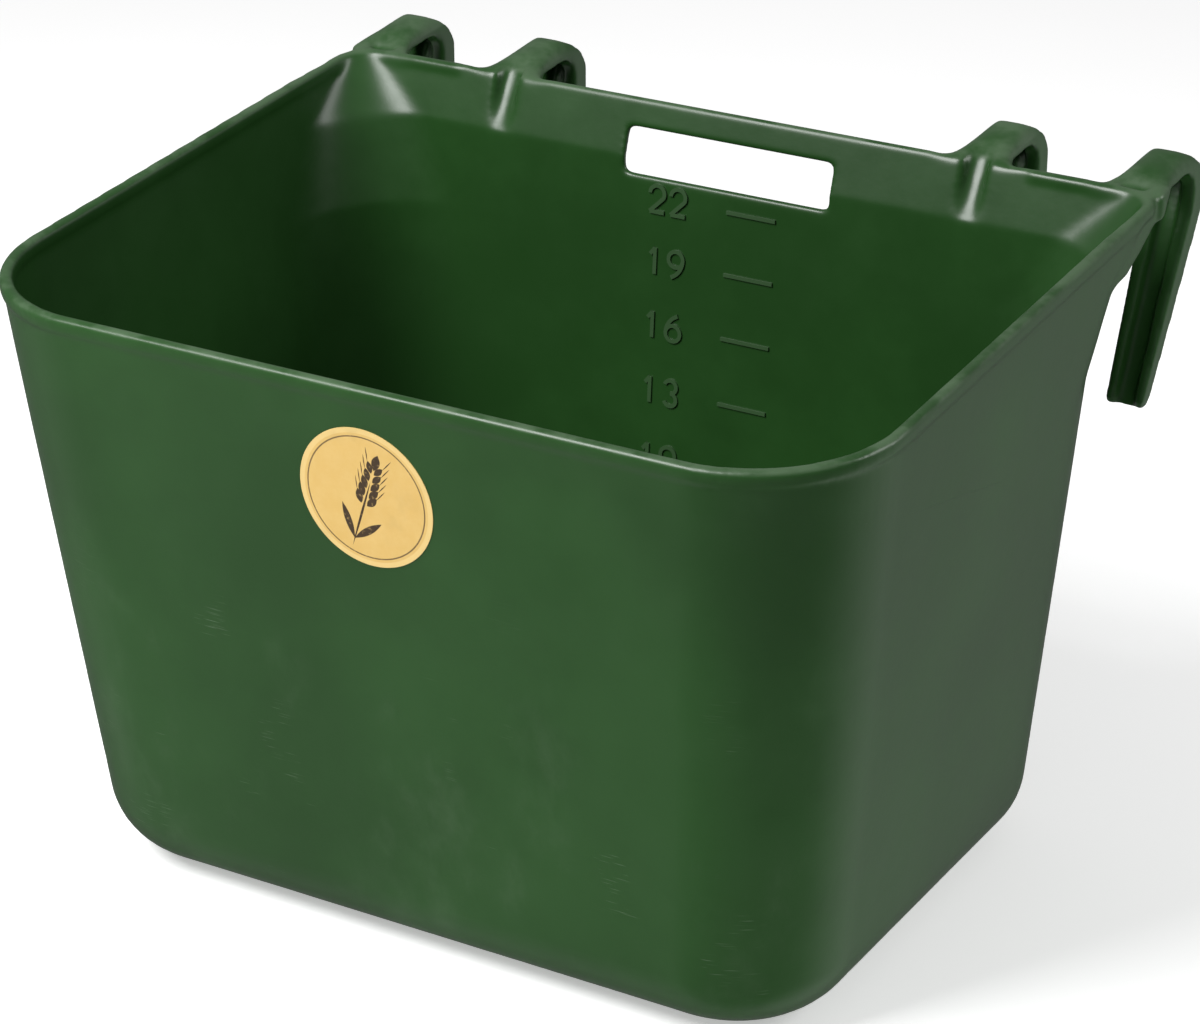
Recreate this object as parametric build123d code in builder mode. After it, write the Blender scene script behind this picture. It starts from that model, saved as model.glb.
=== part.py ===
from build123d import *
import math
import os

# Hanging feed trough. X runs along the back, +Y points to the fence behind it, +Z is up.
# The origin lies on the ground under the middle of the whole object.

# Overall sizes, on the outside
overall_depth = 351.5
rim_width = 400.0
rim_depth = 295.0
rim_height = 273.0
rim_slope = 3.9
floor_width = 344.0
floor_front_inset = 31.2
floor_back_inset = 19.5
wall = 3.5
floor_thickness = 4.0

# Corner radii in plan, on the outside
front_corner_floor = 51.0
front_corner_rim = 61.0
back_corner_floor = 42.0
back_corner_flare = 60.0
back_corner_crease = 44.0
back_corner_rim = 16.0
flare_height = 62.0
floor_round = 34.0

# Upper band of the back wall, which leans back from a crease
band_height = 24.0
band_lean = 6.0

# Rounded bead along the rim's front and sides
bead_width = 6.0
bead_height = 6.0
bead_overhang = 0.8
bead_top_round = 2.2

# Hand slot through the back wall
slot_width = 101.0
slot_height = 20.0
slot_below_rim = 12.0
slot_corner = 3.0

# Hooks over the fence
inner_hook_place = 115.0
outer_hook_place = 186.0
outer_hook_tip_place = 182.0
hook_width = 22.0
hook_tip_width = 17.0
hook_rise = 8.0
hook_arch_thickness = 10.5
hook_leg_root = 13.5
hook_leg_tip = 9.0
hook_leg_length = 112.0
hook_leg_lean = 33.5
hook_ramp_run = 18.0
hook_ramp_rise = 5.2
hook_crest_rise = 2.0
hook_roof_slant = 1.0
hook_throat_drop = 15.5
hook_tip_slant = 2.0
hook_outer_round = 16.0
hook_inner_round = 8.0
hook_bend_round = 34.0
hook_gusset_depth = 16.0
hook_gusset_reach = 11.0
corner_gusset_depth = 29.0
corner_gusset_reach = 22.0
hook_crown = 10.5
hook_back_round = 9.0
hook_outline_spare = 1.0
hook_plan_spare = 4.0
leg_groove_width = 8.5
leg_groove_depth = 4.5
groove_below_tip = 20.0
groove_above_bend = 12.0
recess_width = 10.0
recess_depth = 7.0
recess_run = 17.0
recess_round = 12.0
recess_foot = 1.5
outer_recess_place = 184.0
outer_recess_width = 14.0
fairing_half_width = 27.0
fairing_thickness = 6.0
fairing_end = 20.0
fairing_end_drop = 1.0

# Label on the front and fill scale inside the back
label_diameter = 60.0
label_thickness = 0.3
label_below_rim = 47.0
scale_relief = 0.8
scale_figure_height = 12.0
scale_figure_pitch = 10.5
scale_stroke = 1.8
scale_marks = 5
scale_below_slot = 6.0
scale_foot = 100.0
scale_tick_length = 24.0
scale_tick_width = 1.6
scale_number_x = -36.0
scale_tick_x = 14.0

tilt = math.radians(rim_slope)
rim_middle = (rim_depth - overall_depth) / 2
wall_front = -rim_depth / 2 + bead_overhang
wall_back = rim_depth / 2
floor_front = -rim_depth / 2 + floor_front_inset
floor_back = rim_depth / 2 - floor_back_inset
crease_share = 1 - band_height / rim_height
flare_share = 1 - flare_height / rim_height
ground = Plane(origin=(0, rim_middle, 0))


def sloping_plane(below):
    """Plane parallel to the rim, a given distance under it."""
    normal = (0, -math.sin(tilt), math.cos(tilt))
    return Plane(origin=(0, rim_middle, rim_height - below), x_dir=(1, 0, 0), z_dir=normal)


def rim_level(y):
    """Height of the rim plane at a distance y behind the rim's middle."""
    return rim_height + math.tan(tilt) * y


def blend(low, high, share):
    """Value at a share of the way from low to high."""
    return low + (high - low) * share


def plan_at(plane, share, back_radius, inset=0.0, lean=0.0):
    """Outline of the basin on a plane, at a share of its height."""
    half = blend(floor_width, rim_width - 2 * bead_overhang, share) / 2 - inset
    front = blend(floor_front, wall_front, share) + inset
    back = blend(floor_back, wall_back, share) + lean - inset
    with BuildSketch(plane) as plan:
        with BuildLine():
            Polyline((-half, front), (half, front), (half, back), (-half, back), close=True)
        make_face()
        front_radius = blend(front_corner_floor, front_corner_rim, share)
        fillet(plan.vertices().group_by(Axis.Y)[0], front_radius - inset)
        fillet(plan.vertices().group_by(Axis.Y)[-1], back_radius - inset)
    return plan.sketch


def flare_plan(inset=0.0):
    """Outline where the back corners start to flare out to the squarer rim."""
    return plan_at(sloping_plane(flare_height), flare_share, back_corner_flare, inset)


def crease_plan(inset=0.0):
    """Outline at the crease under the upper band."""
    return plan_at(sloping_plane(band_height), crease_share, back_corner_crease, inset)


def rim_plan(inset=0.0):
    """Outline at the rim, where the back leans out to squarer corners."""
    return plan_at(sloping_plane(0), 1.0, back_corner_rim, inset, band_lean)


def side_plane(x):
    """Upright plane seen from the side: its x is the distance behind the rim's middle, its y the height."""
    return Plane(origin=(x, rim_middle, 0), x_dir=(0, 1, 0), z_dir=(1, 0, 0))


# Outside of the basin up to the crease, and the space inside it
with BuildPart() as lower_outside:
    loft([plan_at(ground, 0.0, back_corner_floor), flare_plan()])
    loft([flare_plan(), crease_plan()])
    fillet(lower_outside.edges().group_by(Axis.Z)[0], floor_round)

with BuildPart() as lower_space:
    floor_share = floor_thickness / rim_height
    loft([plan_at(ground.offset(floor_thickness), floor_share, back_corner_floor, wall), flare_plan(wall)])
    loft([flare_plan(wall), crease_plan(wall)])
    fillet(lower_space.edges().group_by(Axis.Z)[0], floor_round - wall)

# Collar between the crease and the rim, solid and then hollow
with BuildPart() as collar_outside:
    loft([crease_plan(), rim_plan()])

with BuildPart() as collar:
    add(collar_outside.part)
    loft([crease_plan(wall), rim_plan(wall)], mode=Mode.SUBTRACT)

# Straight stretch of the collar along the back, between the outer hooks
band_half_width = rim_width / 2 - back_corner_flare
with BuildPart() as band_zone:
    with BuildSketch(ground.offset(rim_height / 2)):
        with Locations((0, rim_depth / 2)):
            Rectangle(2 * band_half_width, rim_depth / 2)
    extrude(amount=rim_height)

# Hand slot, square to the back wall
slot_bottom = rim_level(wall_back) - slot_below_rim - slot_height
with BuildPart() as slot:
    slot_centre = (0, rim_middle + wall_back, slot_bottom + slot_height / 2)
    with BuildSketch(Plane(origin=slot_centre, x_dir=(1, 0, 0), z_dir=(0, 1, 0))):
        RectangleRounded(slot_width, slot_height, slot_corner)
    extrude(amount=rim_depth / 8, both=True)

# Bead along the rim's front and sides
with BuildPart() as bead_zone:
    extrude(rim_plan(-bead_overhang), amount=-bead_height)
    extrude(rim_plan(bead_width - bead_overhang), amount=-bead_height, mode=Mode.SUBTRACT)

with BuildPart() as rim:
    add(bead_zone.part)
    across_rim = Axis((0, 0, 0), tuple(sloping_plane(0).z_dir))
    fillet(rim.edges().group_by(across_rim)[-1], bead_top_round)
    add(band_zone.part, mode=Mode.SUBTRACT)

# Hooks: one side view, trimmed from the front, for each of the four
back_face = overall_depth / 2 - rim_middle
band_back = wall_back + band_lean
band_front = band_back - wall
band_top = rim_level(band_front)
crest = band_top + hook_rise
roof = crest - hook_arch_thickness
ramp_end = (band_front + hook_ramp_run, band_top + hook_ramp_rise)
leg_bend = roof - hook_throat_drop
leg_tip = crest - hook_leg_length
tip_back = back_face - hook_leg_lean
tip_front = tip_back - hook_leg_tip
throat_top = (back_face - hook_leg_root, leg_bend)
gusset_foot = blend(floor_back, wall_back, 1 - hook_gusset_depth / rim_height)


def corner_near(sketch, point):
    """Corner of a sketch that lies nearest to a point."""
    return sketch.vertices().sort_by_distance(Vector(*point))[0]


def front_outline(place, tip_place, root_width, tip_width, top_round=0.0):
    """Upright band seen from the front, which runs down from a hook's crest to its tip."""
    outline_corners = (
        (place - root_width / 2, crest),
        (place + root_width / 2, crest),
        (place + root_width / 2, leg_bend),
        (tip_place + tip_width / 2, leg_tip - hook_outline_spare),
        (tip_place - tip_width / 2, leg_tip - hook_outline_spare),
        (place - root_width / 2, leg_bend),
    )
    with BuildPart() as band:
        with BuildSketch(Plane.XZ) as front_view:
            with BuildLine():
                Polyline(*outline_corners, close=True)
            make_face()
            if top_round:
                fillet(front_view.vertices().group_by(Axis.Y)[-1], top_round)
        extrude(amount=overall_depth, both=True)
    return band.part


def plan_outline(place, width, back_round):
    """Upright block seen from above, rounded where the hook turns down behind the fence."""
    with BuildPart() as block:
        with BuildSketch(ground) as plan:
            with Locations((place, back_face / 2)):
                Rectangle(width, back_face)
            fillet(plan.vertices().group_by(Axis.Y)[-1], back_round)
        extrude(amount=2 * rim_height)
    return block.part


def side_prism(place, width, points, rounds=()):
    """Prism with a side view given by points; rounds pairs a corner's number with its radius."""
    with BuildPart() as prism:
        with BuildSketch(side_plane(place)) as view:
            with BuildLine():
                Polyline(*points, close=True)
            make_face()
            for number, radius in rounds:
                fillet(corner_near(view, points[number]), radius)
        extrude(amount=width / 2, both=True)
    return prism.part


def hook(place, tip_place):
    """One hook: a crowned strap over the fence, with a leg grooved on the side of its throat."""
    side_view = (
        (band_front, band_top),
        ramp_end,
        (back_face, crest + hook_crest_rise),
        (back_face, leg_bend),
        (tip_back, leg_tip),
        (tip_front, leg_tip + hook_tip_slant),
        throat_top,
        (back_face - hook_leg_root, roof + hook_roof_slant),
        (band_back + hook_gusset_reach, roof - hook_roof_slant),
        (gusset_foot, band_top - hook_gusset_depth),
        (gusset_foot - corner_gusset_reach, band_top - corner_gusset_depth),
        (gusset_foot - 2 * corner_gusset_reach, band_top - corner_gusset_depth),
    )
    rounds = (
        (1, hook_bend_round),
        (2, hook_outer_round),
        (3, hook_bend_round),
        (4, 0.48 * hook_leg_tip),
        (5, 0.44 * hook_leg_tip),
        (6, hook_bend_round),
        (7, hook_inner_round),
        (8, hook_gusset_reach),
    )
    tip_corner = Vector(tip_front, leg_tip + hook_tip_slant)
    leg_run = (Vector(*throat_top) - tip_corner).normalized()
    into_leg = Vector(leg_run.Y, -leg_run.X)
    low = tip_corner - leg_run * groove_below_tip
    high = Vector(*throat_top) + leg_run * groove_above_bend
    groove = (
        low - into_leg * leg_groove_depth,
        low + into_leg * leg_groove_depth,
        high + into_leg * leg_groove_depth,
        high - into_leg * leg_groove_depth,
    )
    with BuildPart() as made:
        add(side_prism(place, 2 * hook_width, side_view, rounds))
        add(front_outline(place, tip_place, hook_width, hook_tip_width, hook_crown), mode=Mode.INTERSECT)
        add(plan_outline(place, hook_width + hook_plan_spare, hook_back_round), mode=Mode.INTERSECT)
        groove_side = side_prism(place, 2 * hook_width, [tuple(point)[:2] for point in groove])
        groove_front = front_outline(place, tip_place, leg_groove_width, leg_groove_width)
        add(groove_side.intersect(groove_front), mode=Mode.SUBTRACT)
    return made.part


def inner_fairing(place):
    """Root of an inner hook, which spreads to both sides along the top of the band."""
    with BuildPart() as root:
        with BuildSketch(ground.offset(leg_bend)):
            with BuildLine():
                start = (place - fairing_half_width, band_front)
                end = (place + fairing_half_width, band_front)
                left_top = (place - hook_width / 2, band_front + fairing_half_width - hook_width / 2)
                right_top = (place + hook_width / 2, left_top[1])
                Line(start, end)
                CenterArc((end[0], right_top[1]), fairing_half_width - hook_width / 2, 180, 90)
                Line(right_top, left_top)
                CenterArc((start[0], left_top[1]), fairing_half_width - hook_width / 2, 270, 90)
            make_face()
        extrude(amount=rim_height / 4)
    return root.part


def outer_fairing(place):
    """Root of an outer hook, whose outer side carries the side rim on, up to the hook."""
    side = math.copysign(1, place)
    spread = fairing_half_width - hook_width / 2
    start = place - side * fairing_half_width
    neck = place - side * hook_width / 2
    with BuildPart() as root:
        with BuildSketch(ground.offset(leg_bend)):
            with BuildLine():
                Line((start, band_front), (side * rim_width / 2, band_front))
                Polyline(
                    (side * rim_width / 2, band_front),
                    (place + side * hook_width / 2, band_front + spread),
                    (neck, band_front + spread),
                )
                CenterArc((start, band_front + spread), spread, 270, side * 90)
            make_face()
        extrude(amount=rim_height / 4)
    return root.part


def recess(place, width):
    """Hollow pressed into the band's front, which runs up from the crease and fades out on the arch."""
    crease = (wall_back - wall, rim_level(wall_back) - band_height)
    hollow = (
        (crease[0] - recess_foot, crease[1]),
        (band_front + recess_depth, band_top),
        (band_front + recess_run, ramp_end[1]),
        (band_front + recess_run, crest),
        (floor_back - floor_back_inset, crest),
        (floor_back - floor_back_inset, crease[1]),
    )
    return side_prism(place, width, hollow, ((1, recess_round),))


ramp_slab = (
    (band_front, band_top),
    ramp_end,
    (back_face - fairing_end, crest - fairing_end_drop),
    (back_face - fairing_end, crest - fairing_end_drop - fairing_thickness),
    (ramp_end[0], ramp_end[1] - fairing_thickness),
    (band_back, band_top - 2 * fairing_thickness),
    (band_front, band_top - 2 * fairing_thickness),
)
hook_places = {
    "hook_left_outer": (-outer_hook_place, -outer_hook_tip_place),
    "hook_left_inner": (-inner_hook_place, -inner_hook_place),
    "hook_right_inner": (inner_hook_place, inner_hook_place),
    "hook_right_outer": (outer_hook_place, outer_hook_tip_place),
}
recesses = {}
hooks = {}
for name, (place, tip_place) in hook_places.items():
    is_outer = abs(place) == outer_hook_place
    recess_place = math.copysign(outer_recess_place, place) if is_outer else place
    recesses[name] = recess(recess_place, outer_recess_width if is_outer else recess_width)
    with BuildPart() as made:
        add(outer_fairing(place) if is_outer else inner_fairing(place))
        add(side_prism(place, 4 * fairing_half_width, ramp_slab), mode=Mode.INTERSECT)
        add(hook(place, tip_place))
        add(lower_outside.part, mode=Mode.SUBTRACT)
        add(collar_outside.part, mode=Mode.SUBTRACT)
        add(bead_zone.part, mode=Mode.SUBTRACT)
        add(recesses[name], mode=Mode.SUBTRACT)
    made.part.label = name
    hooks[name] = made.part

# Basin with its front and side walls up to the bead
with BuildPart() as basin:
    add(lower_outside.part)
    add(lower_space.part, mode=Mode.SUBTRACT)
    add(collar.part)
    add(band_zone.part.intersect(collar.part), mode=Mode.SUBTRACT)
    add(bead_zone.part, mode=Mode.SUBTRACT)
    add(slot.part, mode=Mode.SUBTRACT)

with BuildPart() as back_band:
    add(collar.part)
    add(band_zone.part, mode=Mode.INTERSECT)
    add(slot.part, mode=Mode.SUBTRACT)
    for hollow in recesses.values():
        add(hollow, mode=Mode.SUBTRACT)


# Round label on the front
front_face = lower_outside.faces().sort_by(Axis.Y)[0]
front_wall = Plane(origin=front_face.center(), x_dir=(1, 0, 0), z_dir=front_face.normal_at())
label_up = (rim_level(wall_front) - label_below_rim - front_wall.origin.Z) / front_wall.y_dir.Z
with BuildPart() as label:
    with BuildSketch(front_wall):
        with Locations((0, label_up)):
            Circle(label_diameter / 2)
    extrude(amount=label_thickness)

# Raised fill scale on the inside of the back wall
back_face_inside = lower_space.faces().sort_by(Axis.Y)[-2:].sort_by(SortBy.AREA)[-1]
back_wall = Plane(origin=back_face_inside.center(), x_dir=(1, 0, 0), z_dir=-back_face_inside.normal_at())


def level_volume(height):
    """Litres in the trough when it is filled level to a height, corners and floor rounding included."""
    slices = 40
    litres = 0.0
    for index in range(slices):
        middle = floor_thickness + (index + 0.5) / slices * (height - floor_thickness)
        share = middle / rim_height
        width = blend(floor_width, rim_width, share) - 2 * wall
        depth = blend(floor_back, wall_back, share) - blend(floor_front, wall_front, share) - 2 * wall
        front_round = blend(front_corner_floor, front_corner_rim, share)
        back_round = blend(back_corner_floor, back_corner_flare, share)
        corners = (1 - math.pi / 4) * (front_round**2 + back_round**2)
        step_in = max(0.0, floor_round - middle)
        drawn_in = floor_round - math.sqrt(max(0.0, floor_round**2 - step_in**2))
        area = (width - 2 * drawn_in) * (depth - 2 * drawn_in) - corners
        litres += area * (height - floor_thickness) / slices / 1e6
    return litres


def level_for(litres):
    """Height of the surface above the ground when the trough holds a number of litres."""
    low, high = floor_thickness, rim_height
    for _ in range(30):
        middle = (low + high) / 2
        low, high = (middle, high) if level_volume(middle) < litres else (low, middle)
    return low


def scale_litres():
    """Whole litres to mark, in equal steps down from the hand slot, above the scale's foot."""
    top = int(level_volume(slot_bottom - scale_below_slot))
    step = max(1, int((top - level_volume(scale_foot)) / (scale_marks - 1)))
    return [top - index * step for index in range(scale_marks)]


def numeral(figure):
    """One raised figure, traced with a stroke of even width; its foot stands on the origin."""
    width = 0.6 * scale_figure_height
    height = scale_figure_height
    bowl = width / 2
    with BuildSketch() as drawn:
        with BuildLine() as stroke:
            if figure == "0":
                CenterArc((bowl, height - bowl), bowl, 0, 180)
                CenterArc((bowl, bowl), bowl, 180, 180)
                Line((0, bowl), (0, height - bowl))
                Line((width, bowl), (width, height - bowl))
            elif figure == "1":
                Polyline((bowl / 3, height * 0.75), (bowl, height), (bowl, 0))
            elif figure == "2":
                arc = CenterArc((bowl, height - bowl), bowl, 180, -210)
                Polyline(arc @ 1, (0, 0), (width, 0))
            elif figure == "3":
                CenterArc((bowl, height * 0.75), height / 4, 160, -250)
                CenterArc((bowl, height * 0.25), height / 4, 90, -250)
            elif figure == "4":
                Polyline((width * 0.7, 0), (width * 0.7, height), (0, height * 0.3), (width, height * 0.3))
            elif figure == "5":
                Polyline((width, height), (width * 0.15, height), (bowl * 0.1, bowl * 1.4))
                CenterArc((bowl, bowl), bowl, 155, -310)
            elif figure == "7":
                Polyline((0, height), (width, height), (width * 0.3, 0))
            elif figure == "8":
                CenterArc((bowl, height * 0.73), height * 0.27, 0, 360)
                CenterArc((bowl, height * 0.27), height * 0.27, 0, 360)
            else:
                CenterArc((bowl, bowl), bowl, 0, 360)
                ThreePointArc((0, bowl), (bowl * 0.45, height * 0.72), (width * 0.8, height))
        for edge in stroke.edges():
            trace(edge, scale_stroke)
        if figure == "9":
            turned = drawn.sketch.rotate(Axis((bowl, height / 2, 0), (0, 0, 1)), 180)
            add(turned, mode=Mode.REPLACE)
    return drawn.sketch


with BuildPart() as fill_scale:
    with BuildSketch(back_wall) as scale_face:
        for litres in scale_litres():
            height = (level_for(litres) - back_wall.origin.Z) / back_wall.y_dir.Z
            for index, figure in enumerate(str(litres)):
                figure_x = scale_number_x + index * scale_figure_pitch
                with Locations((figure_x, height - scale_figure_height / 2)):
                    add(numeral(figure))
            with Locations((scale_tick_x, height)):
                Rectangle(scale_tick_length, scale_tick_width)
    extrude(amount=scale_relief)

sub_parts = {
    "basin": basin.part,
    "back_band": back_band.part,
    "rim": rim.part,
    **hooks,
    "label": label.part,
    "fill_scale": fill_scale.part,
}
os.makedirs("parts", exist_ok=True)
for name, solid in sub_parts.items():
    solid.label = name
    export_step(solid, f"parts/{name}.step")
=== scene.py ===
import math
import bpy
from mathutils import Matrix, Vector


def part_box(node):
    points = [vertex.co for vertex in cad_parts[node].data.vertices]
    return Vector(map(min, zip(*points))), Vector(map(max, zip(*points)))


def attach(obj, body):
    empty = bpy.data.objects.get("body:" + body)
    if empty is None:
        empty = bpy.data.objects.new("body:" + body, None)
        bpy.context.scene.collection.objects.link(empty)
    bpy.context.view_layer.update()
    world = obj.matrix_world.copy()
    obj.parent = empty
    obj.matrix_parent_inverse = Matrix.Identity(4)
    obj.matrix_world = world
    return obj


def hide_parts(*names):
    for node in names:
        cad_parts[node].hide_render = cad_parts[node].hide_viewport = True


bl_info = {
    "name": "Hanging Feed Trough",
    "version": (1, 0, 0),
    "blender": (4, 5, 0),
    "location": "3D View > Sidebar > Feed Trough",
    "description": "Finishes the hook-over feed trough: its moulded shell, label, plastic and studio",
    "category": "Object",
}

import bpy
from mathutils import Vector

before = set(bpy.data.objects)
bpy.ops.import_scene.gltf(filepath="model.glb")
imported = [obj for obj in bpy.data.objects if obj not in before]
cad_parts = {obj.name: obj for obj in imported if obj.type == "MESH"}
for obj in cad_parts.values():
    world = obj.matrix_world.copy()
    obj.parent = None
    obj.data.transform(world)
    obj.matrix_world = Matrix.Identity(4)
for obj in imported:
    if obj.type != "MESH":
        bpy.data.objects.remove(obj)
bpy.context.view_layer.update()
LABEL_LOW, LABEL_HIGH = (Vector(corner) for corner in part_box("label"))
RIM_LOW, RIM_HIGH = (Vector(corner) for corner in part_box("rim"))
BAND_LOW, BAND_HIGH = (Vector(corner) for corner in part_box("back_band"))
HOOK_LOW, HOOK_HIGH = (Vector(corner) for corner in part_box("hook_right_inner"))

TUB_NODES = ("basin", "back_band", "rim")
HOOK_NODES = {"hook_left_outer": -1, "hook_left_inner": -1, "hook_right_inner": 1, "hook_right_outer": 1}
MILLIMETRE = 0.001

# Sizes that the CAD model has, in metres
RIM_SLOPE = 0.0682
BEAD_HEIGHT = 0.006

# Ranges over which the root softening fades: full at the first value, gone at the second
BESIDE_HOOK = (0.012, 0.022)
ALONG_ROOT = (0.02, 0.034)
UNDER_CREASE = (-0.006, 0.002)
FROM_SIDE = (0.024, 0.034)
BEFORE_BAND = (0.02, 0.04)
BEHIND_BAND = (0.004, 0.014)
UNDER_CORNER = (0.02, 0.035)
OVER_TIP = (0.004, 0.012)
ON_LEG = (0.0, 0.01)
ROOT_BEHIND_BAND = 0.014
TIP_SHARE = 0.4

# Mesh and shader settings
MERGE_DISTANCE = 1e-6
SHARP_ANGLE = math.radians(60)
SMOOTH_FACTOR = 0.5
BACK_ARC_DEGREES = range(10, 90, 16)
TEXTURE_GENERATED, TEXTURE_OBJECT = 0, 3
GRADIENT_FACTOR = 1
MIX_FACTOR, MIX_FIRST, MIX_SECOND, MIX_RESULT = 0, 6, 7, 2

# Studio
FLOOR_SIZE = 12.0
FLOOR_DROP = 0.0004
FLOOR_GLOW = 0.42
SENSOR_WIDTH = 36.0
SOFTBOXES = (
    {"name": "key", "azimuth": -28, "elevation": 47, "distance": 1.5, "size": 0.7, "power": 24.0},
    {"name": "side", "azimuth": 112, "elevation": 30, "distance": 1.7, "size": 0.7, "power": 9.0},
    {"name": "glint", "azimuth": -42, "elevation": 60, "distance": 1.6, "size": 0.16, "power": 3.0},
)

# Sectors of the world, as shares of a full turn, and its grey levels
DARK_START, DARK_END = (0.13, 0.185), (0.48, 0.57)
LIGHT_START, LIGHT_END = (0.55, 0.60), (0.65, 0.71)
BACK_START = (0.66, 0.74)
FRONT_LEVEL, DARK_DROP, LIGHT_RISE, BACK_DROP = 0.36, 0.34, 0.22, 0.16
SKY_START, SKY_LEVEL = (0.0, 0.45), 0.3


# Settings

class TroughShell(bpy.types.PropertyGroup):
    """How the moulded shell is rounded."""

    voxel: bpy.props.FloatProperty(
        name="Detail",
        description="Spacing of the mesh on the rim, the back and the hooks",
        default=0.00115,
        min=0.0005,
        unit="LENGTH",
    )
    softening: bpy.props.IntProperty(
        name="Softening",
        description="Passes that round the edges, as draft and shrinkage do in the mould",
        default=9,
        min=0,
    )
    seam_front: bpy.props.FloatProperty(
        name="Seam below the front rim",
        description="Distance under the front rim where the upper shell starts",
        default=0.017,
        unit="LENGTH",
    )
    seam_back: bpy.props.FloatProperty(
        name="Seam height at the back",
        description="Height above the ground where the upper shell starts at the back",
        default=0.171,
        unit="LENGTH",
    )
    corner_start: bpy.props.FloatProperty(
        name="Back corner start",
        description="Place along the depth where the back corners begin",
        default=0.052,
        unit="LENGTH",
    )


class TroughHooks(bpy.types.PropertyGroup):
    """How the hooks are rounded and run into the back."""

    inner_place: bpy.props.FloatProperty(
        name="Inner hooks",
        description="Distance of the inner hooks from the middle",
        default=0.115,
        unit="LENGTH",
    )
    outer_place: bpy.props.FloatProperty(
        name="Outer hooks",
        description="Distance of the outer hooks from the middle",
        default=0.186,
        unit="LENGTH",
    )
    back_round: bpy.props.FloatProperty(
        name="Back rounding",
        description="Radius over which a hook turns down behind the fence",
        default=0.027,
        unit="LENGTH",
    )
    crown_round: bpy.props.FloatProperty(
        name="Crown rounding",
        description="Radius of a hook's top from side to side",
        default=0.0115,
        unit="LENGTH",
    )
    crown_back: bpy.props.FloatProperty(
        name="Crown place",
        description="Distance from a hook's back to the highest point of its crown",
        default=0.02,
        unit="LENGTH",
    )
    crown_slope: bpy.props.FloatProperty(
        name="Crown slope",
        description="Fall of the crown towards the front, as a share of its length",
        default=0.14,
    )
    crown_angle: bpy.props.FloatProperty(
        name="Crown angle",
        description="Slope of a hook's top to its left and right",
        subtype="ANGLE",
        default=math.radians(18),
    )
    root_softening: bpy.props.IntProperty(
        name="Root softening",
        description="Passes that run the hooks into the band and soften their grooves",
        default=26,
        min=0,
    )


class TroughFinish(bpy.types.PropertyGroup):
    """Colours and surface of the plastic and the label."""

    plastic: bpy.props.FloatVectorProperty(
        name="Plastic",
        description="Colour of the moulded plastic",
        subtype="COLOR",
        size=3,
        min=0.0,
        max=1.0,
        default=(0.0165, 0.064, 0.0125),
    )
    # Also the colour of the painted highlight on top of the rim bead.
    scuff_and_sheen: bpy.props.FloatVectorProperty(
        name="Scuffed plastic",
        description="Colour of rubbed and scratched plastic",
        subtype="COLOR",
        size=3,
        min=0.0,
        max=1.0,
        default=(0.13, 0.19, 0.12),
    )
    plastic_roughness: bpy.props.FloatProperty(
        name="Plastic roughness",
        description="Roughness of the clean plastic",
        subtype="FACTOR",
        default=0.32,
        min=0.0,
        max=1.0,
    )
    label_ground: bpy.props.FloatVectorProperty(
        name="Label",
        description="Ground colour of the label",
        subtype="COLOR",
        size=3,
        min=0.0,
        max=1.0,
        default=(0.60, 0.385, 0.105),
    )
    label_edge: bpy.props.FloatVectorProperty(
        name="Label border",
        description="Colour of the label's border",
        subtype="COLOR",
        size=3,
        min=0.0,
        max=1.0,
        default=(0.66, 0.47, 0.17),
    )
    label_ink: bpy.props.FloatVectorProperty(
        name="Label ink",
        description="Colour of the printed ear of oats",
        subtype="COLOR",
        size=3,
        min=0.0,
        max=1.0,
        default=(0.055, 0.032, 0.014),
    )


class TroughStage(bpy.types.PropertyGroup):
    """Camera and light of the studio."""

    azimuth: bpy.props.FloatProperty(
        name="Azimuth",
        description="Turn of the camera to the right of straight ahead",
        subtype="ANGLE",
        default=math.radians(30.32),
    )
    elevation: bpy.props.FloatProperty(
        name="Elevation",
        description="Angle of the camera above the horizon",
        subtype="ANGLE",
        default=math.radians(24.69),
    )
    distance: bpy.props.FloatProperty(
        name="Distance",
        description="Distance from the camera to the point it looks at",
        default=1.5854,
        unit="LENGTH",
    )
    target: bpy.props.FloatVectorProperty(
        name="Target",
        description="Point that the camera looks at",
        subtype="TRANSLATION",
        size=3,
        default=(0.01297, -0.01726, 0.15231),
    )
    lens: bpy.props.FloatProperty(
        name="Lens",
        description="Focal length on a sensor 36 mm wide",
        default=114.17,
        unit="CAMERA",
    )
    shift: bpy.props.FloatVectorProperty(
        name="Shift",
        description="Shift of the picture across the sensor, as a share of its width",
        size=2,
        default=(0.0017, 0.0008),
    )
    backdrop: bpy.props.FloatProperty(
        name="Backdrop",
        description="Brightness of the white surroundings",
        default=0.9,
        min=0.0,
    )


# Shader maths

class Wire:
    """A socket or a number in a material, which arithmetic turns into Math nodes."""

    def __init__(self, sheet, socket):
        self.sheet = sheet
        self.socket = socket

    def maths(self, operation, *others, clamp=False):
        values = dict(enumerate((self, *others)))
        return self.sheet.node("ShaderNodeMath", {"operation": operation, "use_clamp": clamp}, values)

    def __add__(self, other):
        return self.maths("ADD", other)

    def __radd__(self, other):
        return self.maths("ADD", other)

    def __sub__(self, other):
        return self.maths("SUBTRACT", other)

    def __rsub__(self, other):
        return self.sheet.node("ShaderNodeMath", {"operation": "SUBTRACT"}, {0: other, 1: self})

    def __mul__(self, other):
        return self.maths("MULTIPLY", other)

    def __abs__(self):
        return self.maths("ABSOLUTE")

    def clamped(self):
        return self.maths("ADD", 0.0, clamp=True)

    def between(self, low, high):
        """0 below low, 1 above high and a smooth step from one to the other."""
        settings = {"interpolation_type": "SMOOTHSTEP"}
        values = {"Value": self, "From Min": low, "From Max": high}
        return self.sheet.node("ShaderNodeMapRange", settings, values)


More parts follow.
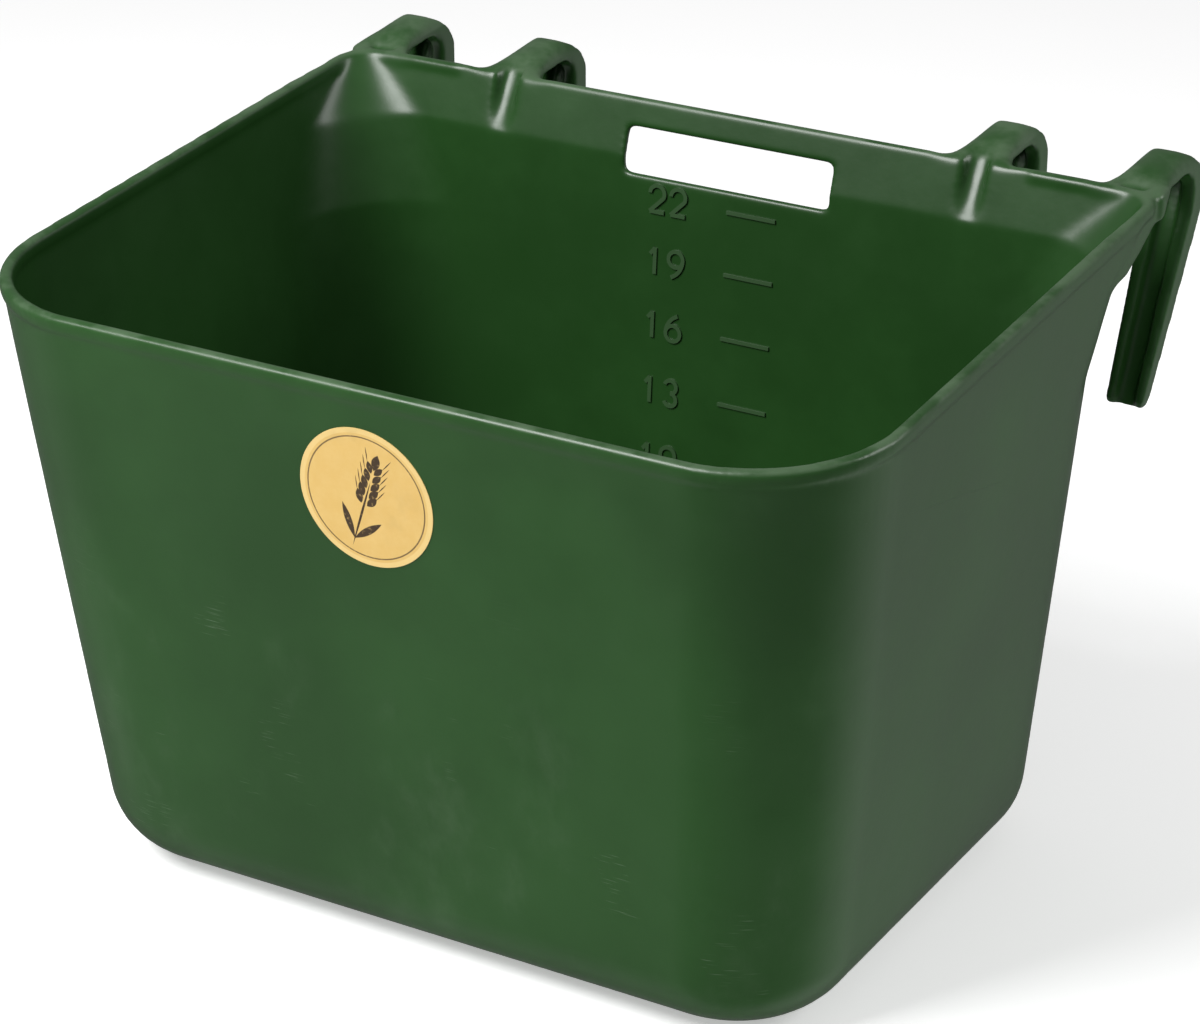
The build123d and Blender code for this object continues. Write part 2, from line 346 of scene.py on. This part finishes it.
class Sheet:
    """Node sheet of a material or of the world."""

    def __init__(self, owner, shader="Principled BSDF"):
        owner.use_nodes = True
        self.owner = owner
        self.tree = owner.node_tree
        self.shader = self.tree.nodes[shader]

    def node(self, kind, settings=None, values=None, output=0):
        """Adds a node, sets it, feeds its sockets with numbers or wires, and gives an output."""
        made = self.tree.nodes.new(kind)
        for name, value in (settings or {}).items():
            setattr(made, name, value)
        for name, value in (values or {}).items():
            self.feed(made.inputs[name], value)
        return Wire(self, made.outputs[output])

    def feed(self, socket, value):
        if isinstance(value, Wire):
            self.tree.links.new(value.socket, socket)
        else:
            socket.default_value = value

    def set(self, **values):
        """Feeds the shader's own sockets, whose names are written with underscores."""
        for name, value in values.items():
            self.feed(self.shader.inputs[name.replace("_", " ")], value)

    def place(self, scale=(1.0, 1.0, 1.0), turn=(0.0, 0.0, 0.0)):
        """Object coordinates, turned and stretched."""
        coordinates = self.node("ShaderNodeTexCoord", output=TEXTURE_OBJECT)
        values = {"Vector": coordinates, "Scale": scale, "Rotation": turn}
        return self.node("ShaderNodeMapping", values=values)

    def axes(self, vector):
        """X, Y and Z of a vector."""
        parted = self.node("ShaderNodeSeparateXYZ", values={0: vector}).socket.node
        return [Wire(self, output) for output in parted.outputs]

    def noise(self, vector, scale, detail=2.0, roughness=0.5):
        values = {"Vector": vector, "Scale": scale, "Detail": detail, "Roughness": roughness}
        return self.node("ShaderNodeTexNoise", {"noise_dimensions": "3D"}, values)

    def mix(self, factor, first, second):
        """Colour between two colours."""
        settings = {"data_type": "RGBA", "clamp_factor": True}
        values = {MIX_FACTOR: factor, MIX_FIRST: first, MIX_SECOND: second}
        return self.node("ShaderNodeMix", settings, values, output=MIX_RESULT)

    def bump(self, height, strength, distance):
        values = {"Height": height, "Strength": strength, "Distance": distance}
        return self.node("ShaderNodeBump", values=values)


def opaque(colour):
    """Colour with full alpha."""
    return (*colour, 1.0)


def scratches(sheet, turn, threshold):
    """Short thin strokes in one direction, strewn where a coarse noise passes the threshold."""
    across, along = 1300.0, 46.0
    drawn = sheet.place(scale=(along, along, across), turn=turn)
    distance = sheet.node("ShaderNodeTexVoronoi", {"feature": "F1"}, {"Vector": drawn, "Scale": 1.0})
    here = sheet.noise(sheet.place(), scale=30.0, detail=3.0).between(threshold, threshold + 0.06)
    return (1.0 - distance.between(0.03, 0.26)) * here


def rim_wear_and_highlight(y, z, patchy):
    """1 in pale patches on top of the bead, which follows the slope of the rim: partly rubbed wear,
    partly a painted highlight where the rim's top catches the light.
    """
    over_bead = z - (y - RIM_LOW.y) * RIM_SLOPE - (RIM_LOW.z + BEAD_HEIGHT)
    on_top = over_bead.between(-0.0022, -0.0004) * (1.0 - over_bead.between(0.004, 0.008))
    return on_top * patchy.between(0.38, 0.6)


def plastic_material(name, wear):
    """Satin green plastic with a soft wave in it, paler on the rim top with wear and a painted
    highlight, and scuffed low on the front.
    """
    finish = bpy.context.scene.trough_finish
    sheet = Sheet(bpy.data.materials.new(name))
    place = sheet.place()
    _, y, z = sheet.axes(place)

    cloud = sheet.noise(place, scale=6.0, detail=2.0)
    patchy = sheet.noise(place, scale=34.0, detail=5.0, roughness=0.62)
    fleck = sheet.noise(place, scale=420.0, detail=2.0)
    low_front = (0.0 - y).between(0.10, 0.13) * (0.20 - z).between(0.0, 0.09)
    strokes = (
        scratches(sheet, turn=(0.0, 0.35, 0.0), threshold=0.6)
        + scratches(sheet, turn=(0.0, -0.55, 0.2), threshold=0.63)
        + scratches(sheet, turn=(0.3, 1.2, 0.0), threshold=0.64)
    )
    flattened = sheet.place(scale=(1.0, 1.0, 0.55))
    dust = sheet.noise(flattened, scale=24.0, detail=6.0, roughness=0.7).between(0.5, 0.8)
    stroke_share, dust_share, spread_dust, rim_share = 0.42, 0.12, 0.02, 0.35
    low_scuff = strokes * low_front * stroke_share + dust * (spread_dust + low_front * dust_share)
    # The rim term paints a highlight on the bead's top as well as wear, both in the scuffed colour.
    scuff_and_rim_sheen = (wear + low_scuff + rim_wear_and_highlight(y, z, patchy) * rim_share).clamped()

    deep = tuple(channel * 0.86 for channel in finish.plastic)
    light = tuple(channel * 1.14 for channel in finish.plastic)
    clean = sheet.mix((cloud * 0.7 + patchy * 0.3).between(0.35, 0.65), opaque(deep), opaque(light))
    sheet.set(Base_Color=sheet.mix(scuff_and_rim_sheen, clean, opaque(finish.scuff_and_sheen)))
    sheet.set(Roughness=finish.plastic_roughness + (patchy - 0.5) * 0.14 + scuff_and_rim_sheen * 0.2)
    sheet.set(IOR=1.5, Specular_IOR_Level=0.5)

    wave = sheet.noise(sheet.place(scale=(1.0, 1.0, 0.6)), scale=8.0, detail=1.0)
    ripple = sheet.noise(place, scale=45.0, detail=2.0)
    height = wave + ripple * 0.05 + fleck * 0.012 - strokes * low_front * 0.03
    sheet.set(Normal=sheet.bump(height, strength=0.45, distance=0.004))
    return sheet.owner


def seed(across, upward, place, turn, half_length, half_width):
    """1 inside a pointed oval, which lies at a place and leans to the right by a turn."""
    right = across - place[0]
    above = upward - place[1]
    along = (right * math.sin(turn) + above * math.cos(turn)) * (1.0 / half_length)
    aside = abs(right * math.cos(turn) - above * math.sin(turn)) * (1.0 / half_width)
    return (1.0 - along * along - aside).between(0.0, 0.14)


def ear_of_oats(across, upward):
    """1 on the ink of an ear with paired seeds and beards, a stalk and two leaves, in millimetres."""
    beside = abs(across)
    stalk = seed(across, upward, (0.0, -8.0), 0.0, 17.0, 0.55)
    top_seed = seed(beside, upward, (0.0, 17.6), 0.0, 3.9, 2.0)
    leaf = seed(beside, upward, (4.6, -14.0), 0.62, 8.2, 1.7)
    ink = stalk.maths("MAXIMUM", top_seed).maths("MAXIMUM", leaf)
    for step in range(5):
        place = (2.9 - step * 0.22, -0.5 + step * 3.7)
        beard_place = (place[0] + 2.7, place[1] + 4.9)
        side_seed = seed(beside, upward, place, 0.52, 3.3 - step * 0.12, 1.75 - step * 0.08)
        beard = seed(beside, upward, beard_place, 0.40, 3.4, 0.24)
        ink = ink.maths("MAXIMUM", side_seed).maths("MAXIMUM", beard)
    return ink


def label_material():
    """Tan paper label with a border and an ear of oats, slightly mottled by its print and glue."""
    finish = bpy.context.scene.trough_finish
    sheet = Sheet(bpy.data.materials.new("label_paper"))
    x, y, z = sheet.axes(sheet.place())
    centre = (LABEL_LOW + LABEL_HIGH) / 2
    radius = (LABEL_HIGH.x - LABEL_LOW.x) / (2 * MILLIMETRE)
    across = (x - centre.x) * (1.0 / MILLIMETRE)
    upward = (z - centre.z) * (2 * radius / (LABEL_HIGH.z - LABEL_LOW.z))
    reach = (across * across + upward * upward).maths("SQRT")
    border = reach.between(radius - 2.3, radius - 2.0)
    line = reach.between(radius - 4.0, radius - 3.8) * (1.0 - reach.between(radius - 3.4, radius - 3.2))
    mottle = sheet.noise(sheet.place(), scale=160.0, detail=4.0, roughness=0.7).between(0.3, 0.75)
    soiled = sheet.noise(sheet.place(), scale=55.0, detail=3.0).between(0.55, 0.8)
    lean = math.radians(20)
    leaning = across * math.cos(lean) - upward * math.sin(lean)
    standing = across * math.sin(lean) + upward * math.cos(lean)
    thin = sheet.noise(sheet.place(), scale=800.0, detail=3.0).between(0.55, 0.75)
    print_mask = ear_of_oats(leaning, standing).maths("MAXIMUM", line * 0.8) * (1.0 - thin * 0.35)

    ground = sheet.mix(mottle * 0.35, opaque(finish.label_ground), opaque(finish.label_edge))
    dulled = tuple(channel * 0.66 for channel in finish.label_ground)
    edged = sheet.mix(border, ground, opaque(finish.label_edge))
    stained = sheet.mix(soiled * 0.35, edged, opaque(dulled))
    sheet.set(Base_Color=sheet.mix(print_mask, stained, opaque(finish.label_ink)))
    sheet.set(Roughness=0.42 + mottle * 0.12)
    grain = sheet.noise(sheet.place(), scale=1400.0)
    sheet.set(Normal=sheet.bump(grain, strength=0.12, distance=0.0002))
    return sheet.owner


def floor_material():
    """Pale seamless paper."""
    sheet = Sheet(bpy.data.materials.new("studio_paper"))
    tone = sheet.noise(sheet.place(), scale=3.0).between(0.3, 0.7)
    grey, white = (0.93, 0.93, 0.93, 1.0), (0.95, 0.95, 0.95, 1.0)
    sheet.set(Base_Color=sheet.mix(tone, grey, white), Roughness=0.9)
    sheet.set(Emission_Color=(1.0, 1.0, 1.0, 1.0), Emission_Strength=FLOOR_GLOW)
    return sheet.owner


def plastic(name="moulded_plastic", wear=0.0):
    """The plastic of that name, made the first time it is asked for."""
    return bpy.data.materials.get(name) or plastic_material(name, wear)


# Mesh helpers

def pick(obj):
    """Leaves one object selected and active."""
    bpy.ops.object.select_all(action="DESELECT")
    obj.select_set(True)
    bpy.context.view_layer.objects.active = obj


def edit(obj):
    """Opens an object in edit mode with all of it selected."""
    pick(obj)
    bpy.ops.object.mode_set(mode="EDIT")
    bpy.ops.mesh.select_all(action="SELECT")


def leave_edit():
    bpy.ops.object.mode_set(mode="OBJECT")


def finish_modifier(obj, kind, **settings):
    """Adds a modifier, sets it and applies it."""
    pick(obj)
    modifier = obj.modifiers.new(kind.title(), kind)
    for name, value in settings.items():
        setattr(modifier, name, value)
    bpy.ops.object.modifier_apply(modifier=modifier.name)


def settle(obj):
    """Moves an object's place, turn and size into its mesh."""
    pick(obj)
    bpy.ops.object.transform_apply(location=True, rotation=True, scale=True)


def copied(name, *nodes):
    """One new object from the meshes of CAD nodes, with their loose corners merged."""
    bpy.ops.object.select_all(action="DESELECT")
    for node in nodes:
        copy = bpy.data.objects.new(name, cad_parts[node].data.copy())
        bpy.context.scene.collection.objects.link(copy)
        copy.select_set(True)
        bpy.context.view_layer.objects.active = copy
    if len(nodes) > 1:
        bpy.ops.object.join()
    obj = bpy.context.view_layer.objects.active
    obj.data.materials.clear()
    edit(obj)
    bpy.ops.mesh.remove_doubles(threshold=MERGE_DISTANCE)
    leave_edit()
    return obj


def duplicate(obj):
    """A copy of an object with a mesh of its own."""
    other = obj.copy()
    other.data = obj.data.copy()
    bpy.context.scene.collection.objects.link(other)
    return other


def cut(obj, point, normal):
    """Cuts an object off on the side that the normal points to, and closes the cut."""
    edit(obj)
    bpy.ops.mesh.bisect(plane_co=point, plane_no=normal, use_fill=True, clear_outer=True)
    leave_edit()


def join(first, second):
    """Joins the second object to the first."""
    pick(first)
    second.select_set(True)
    bpy.ops.object.join()


def towards(azimuth, elevation):
    """Direction at an angle to the right of straight ahead and above the horizon."""
    level = math.cos(elevation)
    return Vector((math.sin(azimuth) * level, -math.cos(azimuth) * level, math.sin(elevation)))


def fade(value, full, gone):
    """1 up to one value, 0 from another on, and even steps between them."""
    return min(1.0, max(0.0, (gone - value) / (gone - full)))


def root_weight(place, hooks):
    """Share of the root softening that a point gets, most of it at the roots of the hooks."""
    aside, behind, height = abs(place.x), place.y, place.z
    from_hook = min(abs(aside - hooks.inner_place), abs(aside - hooks.outer_place))
    from_root = abs(behind - BAND_LOW.y - ROOT_BEHIND_BAND)
    below = BAND_LOW.z - height
    root = fade(from_hook, *BESIDE_HOOK) * fade(from_root, *ALONG_ROOT) * fade(below, *UNDER_CREASE)
    corner = fade(RIM_HIGH.x - aside, *FROM_SIDE) * fade(BAND_LOW.y - behind, *BEFORE_BAND)
    corner *= fade(behind - BAND_HIGH.y, *BEHIND_BAND) * fade(below, *UNDER_CORNER)
    tip = fade(height - HOOK_LOW.z, *OVER_TIP) * fade(BAND_HIGH.y - behind, *ON_LEG)
    return max(root, corner, tip * TIP_SHARE)


def soften_roots(obj, hooks):
    """Smooths an object where its hooks grow out of the band."""
    group = obj.vertex_groups.new(name="roots")
    for vertex in obj.data.vertices:
        weight = root_weight(vertex.co, hooks)
        if weight > 0.0:
            group.add([vertex.index], weight, "REPLACE")
    settings = {"iterations": hooks.root_softening, "vertex_group": group.name}
    finish_modifier(obj, "SMOOTH", factor=SMOOTH_FACTOR, **settings)
    obj.vertex_groups.clear()


def rounded_strap(node, place, hooks):
    """Copy of one hook, turned down behind in a wide arc and crowned from side to side on top of it."""
    strap = copied(f"{node}_strap", node)
    behind = Vector((0.0, HOOK_HIGH.y - hooks.back_round, HOOK_HIGH.z - hooks.back_round))
    for degrees in BACK_ARC_DEGREES:
        angle = math.radians(degrees)
        outward = Vector((0.0, math.sin(angle), math.cos(angle)))
        cut(strap, behind + outward * hooks.back_round, outward)
    crown = Vector((place, HOOK_HIGH.y - hooks.crown_back, HOOK_HIGH.z - hooks.crown_round))
    for angle in (-hooks.crown_angle, hooks.crown_angle):
        upward = math.cos(angle)
        outward = Vector((math.sin(angle), -upward * hooks.crown_slope, upward)).normalized()
        cut(strap, crown + outward * hooks.crown_round, outward)
    return strap


def seam_plane(shell):
    """Point and upward normal of the sloping seam between the lower and the upper shell."""
    front = Vector((0.0, RIM_LOW.y, RIM_LOW.z + BEAD_HEIGHT - shell.seam_front))
    back = Vector((0.0, RIM_HIGH.y, shell.seam_back))
    run = back - front
    return front, Vector((0.0, -run.z, run.y)).normalized()


def finished(obj, name, *nodes):
    """Names a piece of the shell, smooths it, gives it its plastic and lets it ride with the trough."""
    obj.name = name
    obj.data.name = name
    pick(obj)
    bpy.ops.object.shade_smooth_by_angle(angle=SHARP_ANGLE)
    obj.data.materials.clear()
    obj.data.materials.append(plastic())
    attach(obj, "root")
    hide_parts(*nodes)


def shaded_like(obj, skin):
    """Shades an object as a finer skin over the same shape is shaded."""
    settings = {
        "object": skin,
        "use_loop_data": True,
        "data_types_loops": {"CUSTOM_NORMAL"},
        "loop_mapping": "POLYINTERP_NEAREST",
    }
    finish_modifier(obj, "DATA_TRANSFER", **settings)


# Pieces

class TROUGH_OT_shell(bpy.types.Operator):
    """Moulded shell, parted below the rim, before the back corners and in the middle of the back"""

    bl_idname = "trough.shell"
    bl_label = "Shell"

    def execute(self, context):
        shell = context.scene.trough_shell
        hooks = context.scene.trough_hooks
        skin = copied("skin", *TUB_NODES)
        for node, side in HOOK_NODES.items():
            place = hooks.outer_place if node.endswith("outer") else hooks.inner_place
            join(skin, rounded_strap(node, side * place, hooks))
        finish_modifier(skin, "REMESH", mode="VOXEL", voxel_size=shell.voxel, adaptivity=0.0)
        finish_modifier(skin, "SMOOTH", factor=SMOOTH_FACTOR, iterations=shell.softening)
        soften_roots(skin, hooks)
        pick(skin)
        bpy.ops.object.shade_smooth()

        seam, upward = seam_plane(shell)
        tub = copied("lower_shell", "basin")
        cut(tub, seam, upward)
        finished(tub, "lower_shell", "basin")
        shaded_like(tub, skin)

        corner = (0.0, shell.corner_start, 0.0)
        cut(skin, seam, -upward)
        front = duplicate(skin)
        cut(front, corner, (0.0, 1.0, 0.0))
        cut(skin, corner, (0.0, -1.0, 0.0))
        left = duplicate(skin)
        cut(skin, (0.0, 0.0, 0.0), (-1.0, 0.0, 0.0))
        cut(left, (0.0, 0.0, 0.0), (1.0, 0.0, 0.0))
        finished(front, "front_rim", "rim")
        finished(skin, "back_right", "back_band", "hook_right_inner", "hook_right_outer")
        finished(left, "back_left", "hook_left_inner", "hook_left_outer")
        return {"FINISHED"}


class TROUGH_OT_fill_scale(bpy.types.Operator):
    """Raised figures and strokes of the fill scale, in the same plastic"""

    bl_idname = "trough.fill_scale"
    bl_label = "Fill Scale"

    def execute(self, context):
        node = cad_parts["fill_scale"]
        node.data.materials.clear()
        node.data.materials.append(plastic("worn_figures", 0.2))
        return {"FINISHED"}


class TROUGH_OT_label(bpy.types.Operator):
    """Round paper label with a printed ear of oats"""

    bl_idname = "trough.label"
    bl_label = "Label"

    def execute(self, context):
        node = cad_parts["label"]
        node.data.materials.clear()
        node.data.materials.append(label_material())
        return {"FINISHED"}


def surroundings(strength):
    """Studio round the trough: pale above, with a light and a dark side that its gloss picks up."""
    sheet = Sheet(bpy.data.worlds.new("studio"), "Background")
    direction = sheet.node("ShaderNodeTexCoord", output=TEXTURE_GENERATED)
    _, _, z = sheet.axes(direction)
    settings = {"gradient_type": "RADIAL"}
    turn = sheet.node("ShaderNodeTexGradient", settings, {"Vector": direction}, output=GRADIENT_FACTOR)
    dark_side = turn.between(*DARK_START) * (1.0 - turn.between(*DARK_END))
    light_side = turn.between(*LIGHT_START) * (1.0 - turn.between(*LIGHT_END))
    back = turn.between(*BACK_START)
    level = FRONT_LEVEL - dark_side * DARK_DROP + light_side * LIGHT_RISE - back * BACK_DROP
    above = z.between(*SKY_START)
    sheet.set(Color=level * (1.0 - above) + above * SKY_LEVEL, Strength=strength)
    return sheet.owner


class TROUGH_OT_stage(bpy.types.Operator):
    """Pale floor, soft lights and the camera"""

    bl_idname = "trough.stage"
    bl_label = "Stage"

    def execute(self, context):
        stage = context.scene.trough_stage
        bpy.ops.object.select_all(action="DESELECT")
        place = (0.0, 0.0, -FLOOR_DROP)
        settings = {"x_subdivisions": 8, "y_subdivisions": 8, "size": FLOOR_SIZE}
        bpy.ops.mesh.primitive_grid_add(location=place, **settings)
        floor = context.object
        floor.name = "studio_floor"
        settle(floor)
        floor.data.materials.append(floor_material())
        floor.visible_glossy = False

        context.scene.world = surroundings(stage.backdrop)
        context.scene.view_settings.view_transform = "Standard"
        target = Vector(stage.target)
        for settings in SOFTBOXES:
            self.softbox(target, **settings)

        back = towards(stage.azimuth, stage.elevation)
        bpy.ops.object.camera_add(location=target + back * stage.distance)
        camera = context.object
        camera.name = "photo_camera"
        camera.rotation_euler = (-back).to_track_quat("-Z", "Y").to_euler()
        camera.data.sensor_width = SENSOR_WIDTH
        camera.data.lens = stage.lens
        camera.data.shift_x, camera.data.shift_y = stage.shift
        context.scene.camera = camera
        return {"FINISHED"}

    def softbox(self, target, name, azimuth, elevation, distance, size, power):
        """Square area light that faces the target from a direction, given in degrees."""
        away = towards(math.radians(azimuth), math.radians(elevation))
        bpy.ops.object.light_add(type="AREA", location=target + away * distance)
        light = bpy.context.object
        light.name = name
        light.rotation_euler = (-away).to_track_quat("-Z", "Y").to_euler()
        light.data.size = size
        light.data.energy = power


class TROUGH_PT_panel(bpy.types.Panel):
    """Lists the pieces of the trough"""

    bl_idname = "TROUGH_PT_panel"
    bl_label = "Feed Trough"
    bl_space_type = "VIEW_3D"
    bl_region_type = "UI"
    bl_category = "Feed Trough"

    def draw(self, context):
        for group in SETTINGS:
            box = self.layout.box()
            settings = getattr(context.scene, group)
            for name in settings.__annotations__:
                box.prop(settings, name)
        for piece in PIECES:
            self.layout.operator(piece.bl_idname)


SETTINGS = {
    "trough_shell": TroughShell,
    "trough_hooks": TroughHooks,
    "trough_finish": TroughFinish,
    "trough_stage": TroughStage,
}
PIECES = (
    TROUGH_OT_shell,
    TROUGH_OT_fill_scale,
    TROUGH_OT_label,
    TROUGH_OT_stage,
)
CLASSES = (*SETTINGS.values(), *PIECES, TROUGH_PT_panel)


def register():
    for cls in CLASSES:
        bpy.utils.register_class(cls)
    for name, group in SETTINGS.items():
        setattr(bpy.types.Scene, name, bpy.props.PointerProperty(type=group))


def unregister():
    for name in SETTINGS:
        delattr(bpy.types.Scene, name)
    for cls in reversed(CLASSES):
        bpy.utils.unregister_class(cls)


def main():
    register()
    for piece in PIECES:
        getattr(bpy.ops.trough, piece.bl_idname.split(".")[1])()


if __name__ == "__main__":
    main()
